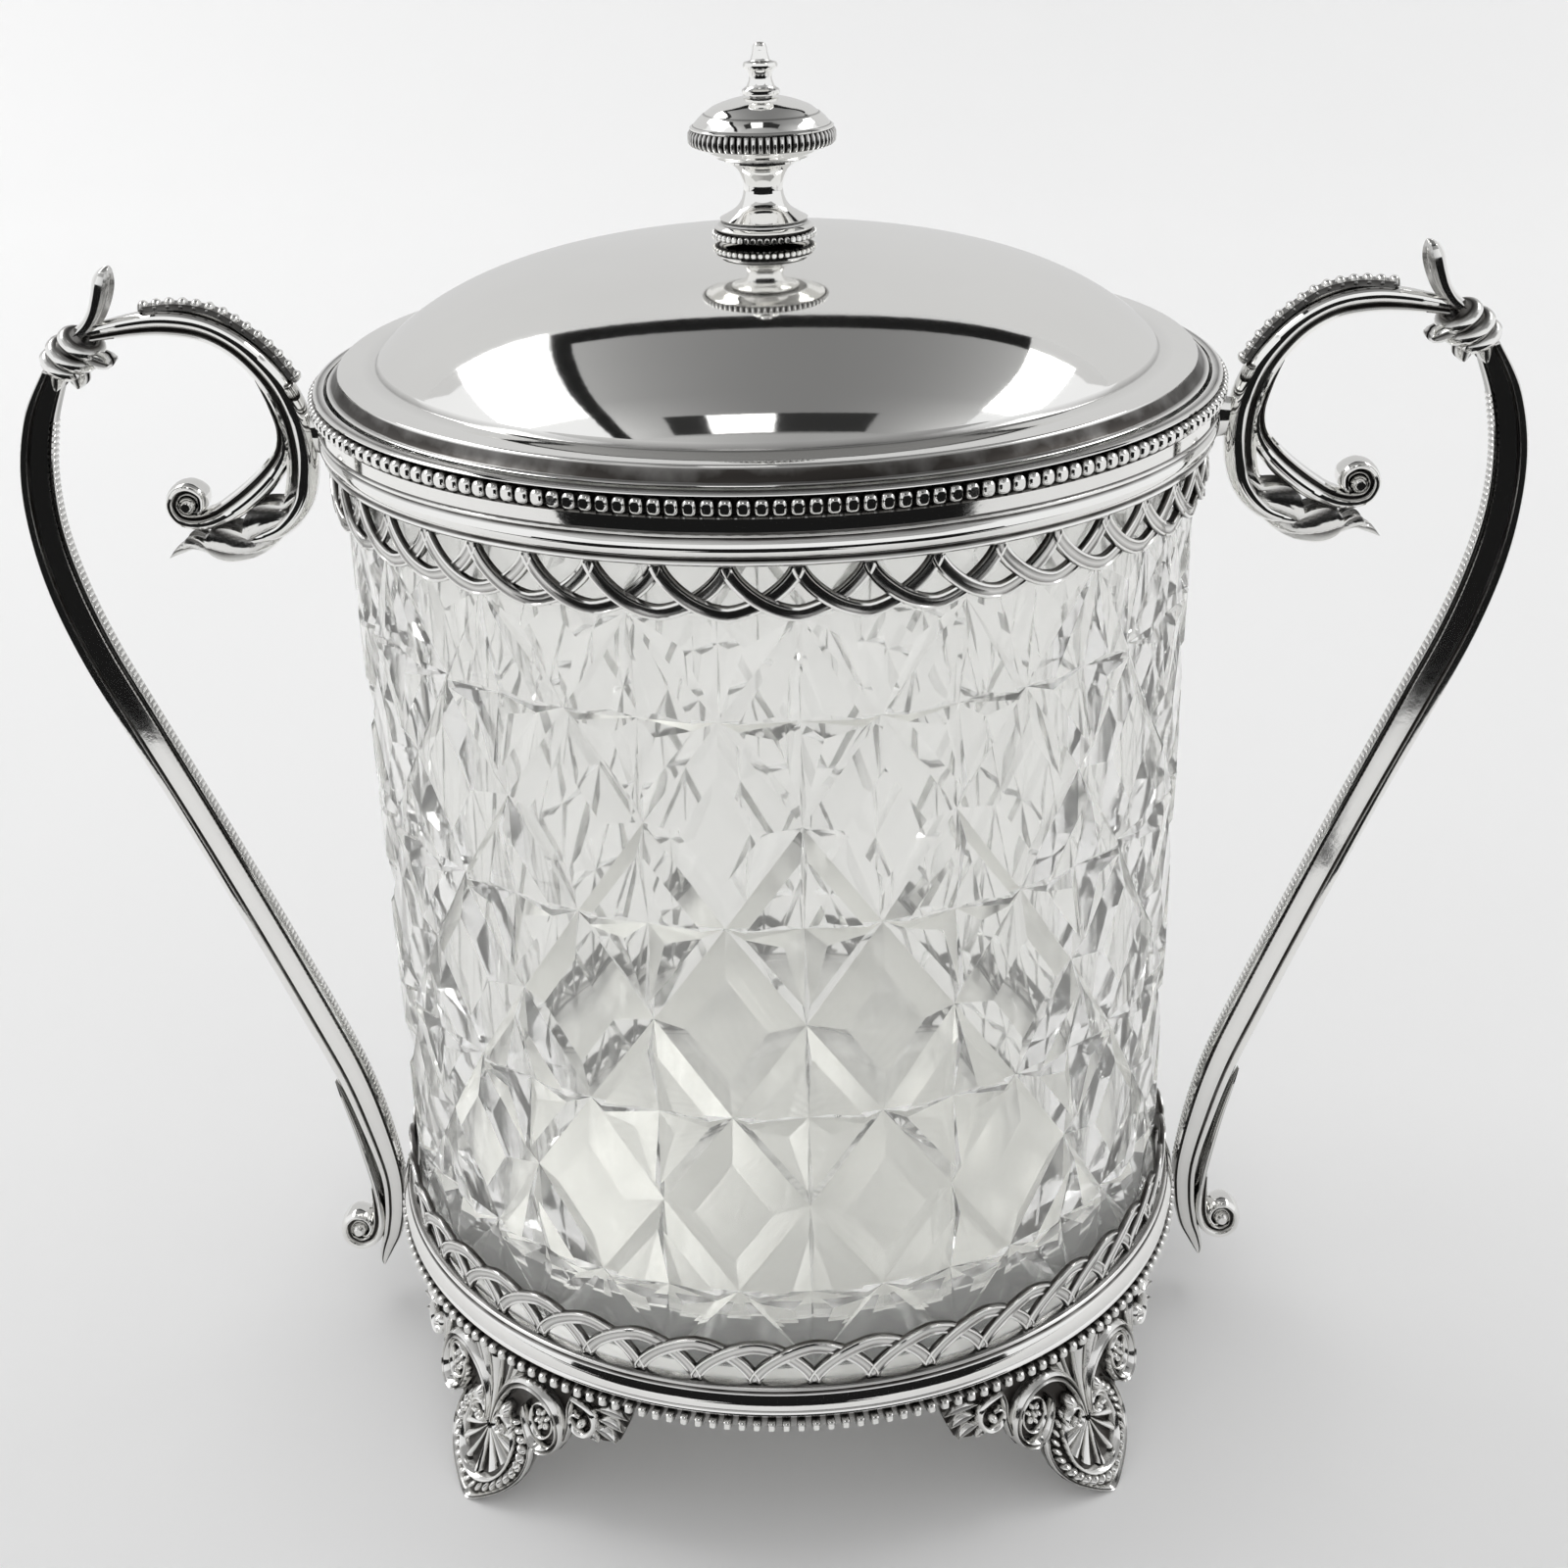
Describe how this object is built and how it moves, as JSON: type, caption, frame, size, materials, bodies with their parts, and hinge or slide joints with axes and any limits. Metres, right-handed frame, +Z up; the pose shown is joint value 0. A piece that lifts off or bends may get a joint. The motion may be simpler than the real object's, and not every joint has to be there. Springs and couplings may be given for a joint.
{
  "type": "biscuit jar",
  "caption": "Cut-glass biscuit jar in a footed silver-plated frame with tall scroll handles, pierced galleries and a lift-off domed lid with a turned finial.",
  "frame": {"origin": "on the table, under the middle of the jar", "axes": "+Z up; the handles stand along X; -Y is the front"},
  "size_m": [0.2402, 0.1424, 0.2257],
  "materials": {
    "silver_plate": "polished, with darker recesses",
    "cut_glass": "clear, polished facets"
  },
  "bodies": {
    "frame": {"base_band": "silver_plate", "base_plate": "silver_plate", "base_bead_ring": "silver_plate", "lower_gallery": "silver_plate", "upper_gallery": "silver_plate", "top_band": "silver_plate", "top_bead_ring": "silver_plate", "foot_front_right": "silver_plate", "foot_front_left": "silver_plate", "foot_back_right": "silver_plate", "foot_back_left": "silver_plate", "handle_left_stem": "silver_plate", "handle_left_scroll": "silver_plate", "handle_left_beading": "silver_plate", "handle_left_knot": "silver_plate", "handle_left_thumb_leaf": "silver_plate", "handle_left_scroll_leaf": "silver_plate", "handle_left_lower_leaf": "silver_plate", "handle_right_stem": "silver_plate", "handle_right_scroll": "silver_plate", "handle_right_beading": "silver_plate", "handle_right_knot": "silver_plate", "handle_right_thumb_leaf": "silver_plate", "handle_right_scroll_leaf": "silver_plate", "handle_right_lower_leaf": "silver_plate"},
    "liner": {"glass_liner": "cut_glass"},
    "lid": {"lid_dome": "silver_plate", "lid_bezel": "silver_plate", "finial_collar": "silver_plate", "finial_bead_ring": "silver_plate", "finial_waist": "silver_plate", "finial_bun": "silver_plate", "finial_spire": "silver_plate", "finial_stud": "silver_plate", "finial_washer": "silver_plate", "finial_nut": "silver_plate"}
  },
  "joints": [
    {"name": "liner_lift", "type": "slide", "parent": "frame", "child": "liner", "axis": [0, 0, 1], "range_m": [0, 0.16]},
    {"name": "lid_lift", "type": "slide", "parent": "liner", "child": "lid", "axis": [0, 0, 1], "range_m": [0, 0.1]}
  ]
}
